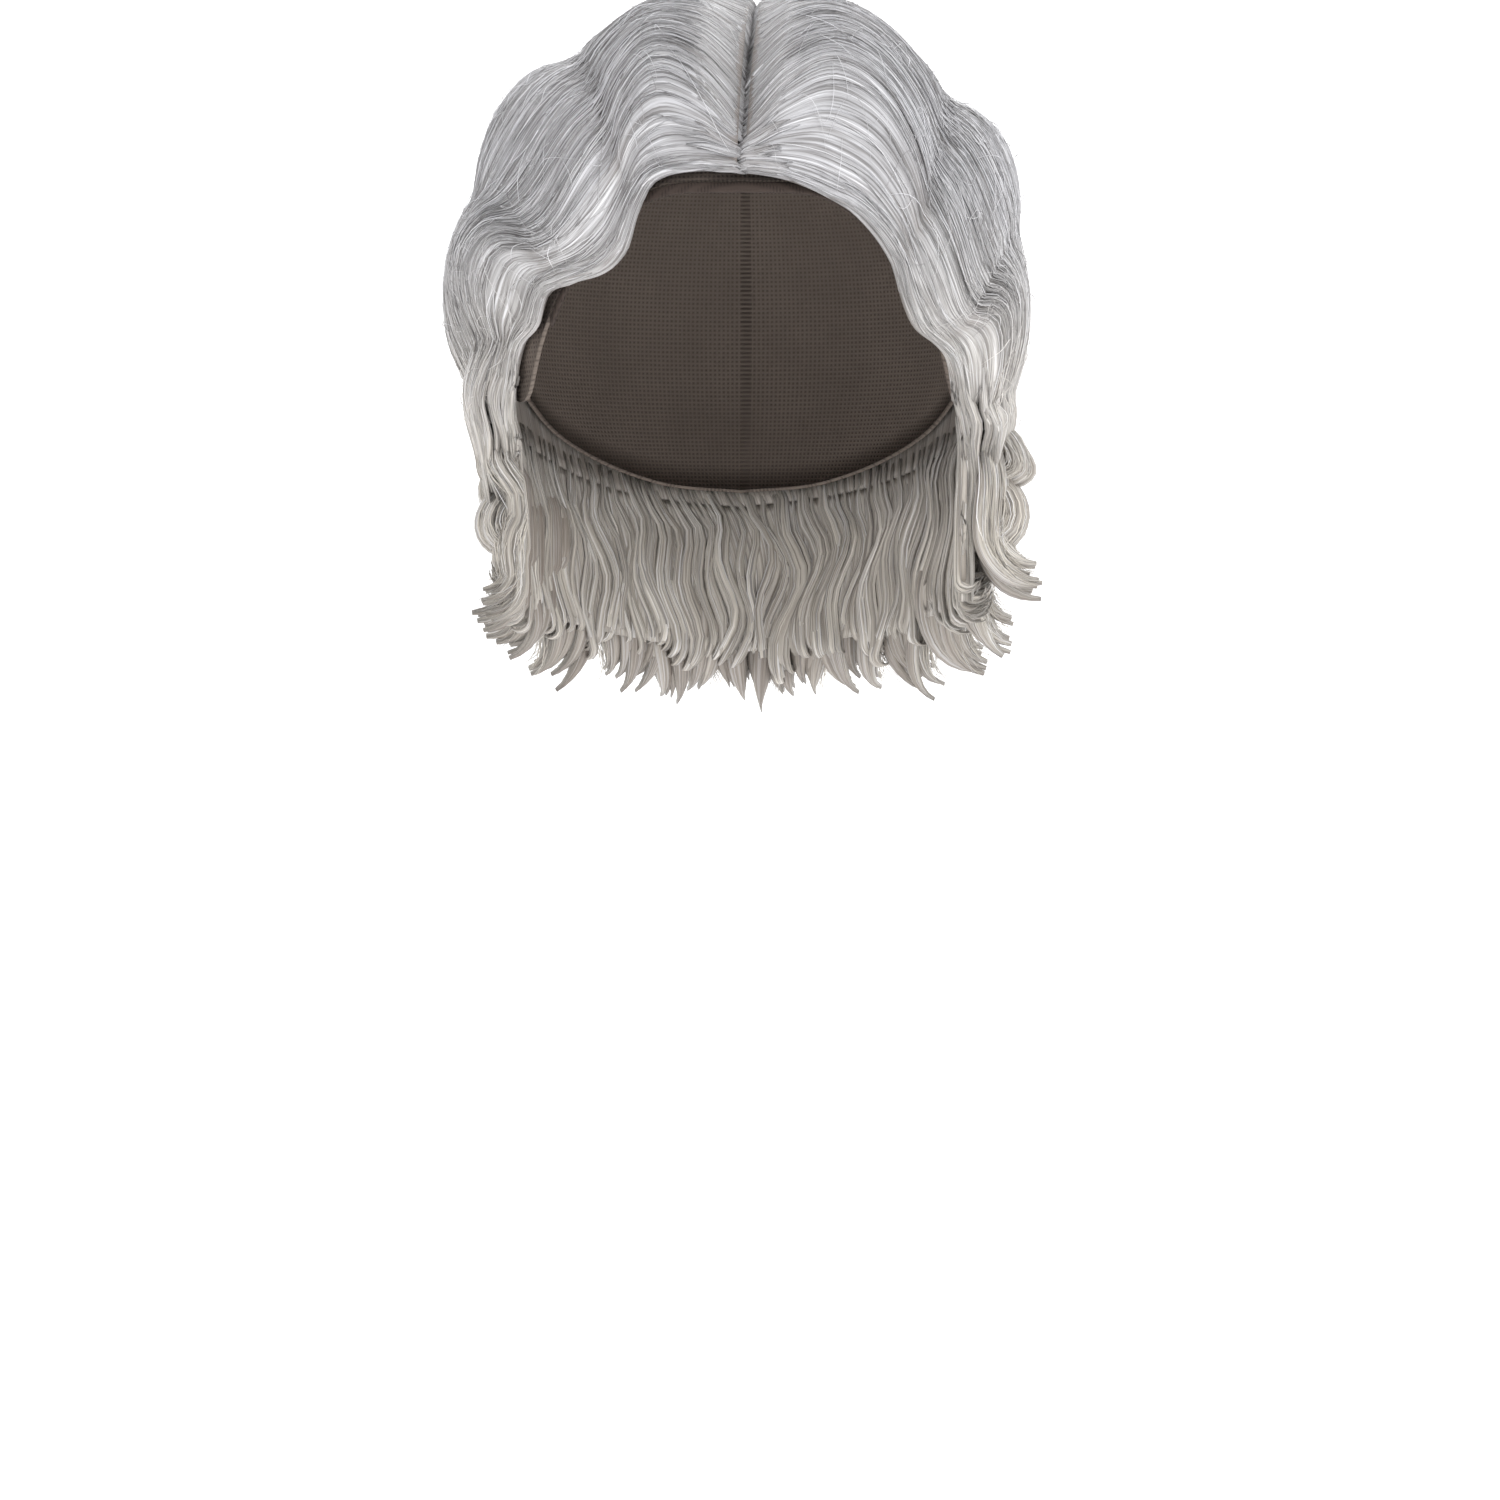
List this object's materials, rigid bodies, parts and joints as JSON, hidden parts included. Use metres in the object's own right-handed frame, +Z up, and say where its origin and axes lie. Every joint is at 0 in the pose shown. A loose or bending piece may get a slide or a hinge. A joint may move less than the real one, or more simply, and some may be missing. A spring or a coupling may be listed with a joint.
{
  "type": "finger wave wig",
  "caption": "Grey finger wave wig on a fitted net cap, with a centre part, three waved panels and rows of short curls that turn up at the neck.",
  "frame": {"origin": "inside the crown of the cap, where it rests on the top of the head", "axes": "+Z up, the front hairline faces -Y, and the wearer's left side is at +X"},
  "size_m": [0.1836, 0.2031, 0.2182],
  "materials": {
    "grey_hair": "silky synthetic hair fibre",
    "cap_net": "fine stretch net",
    "band_tape": "woven edging tape",
    "part_cloth": "thin backing cloth of the part"
  },
  "bodies": {
    "root": {"cap": "cap_net", "front_band": "band_tape", "parting_strip": "part_cloth", "wave_panel_right": "grey_hair", "wave_panel_back": "grey_hair", "wave_panel_left": "grey_hair", "ear_curl_right": "grey_hair", "ear_curl_left": "grey_hair", "side_locks_right": "grey_hair", "side_locks_left": "grey_hair", "nape_locks": "grey_hair"}
  },
  "joints": []
}
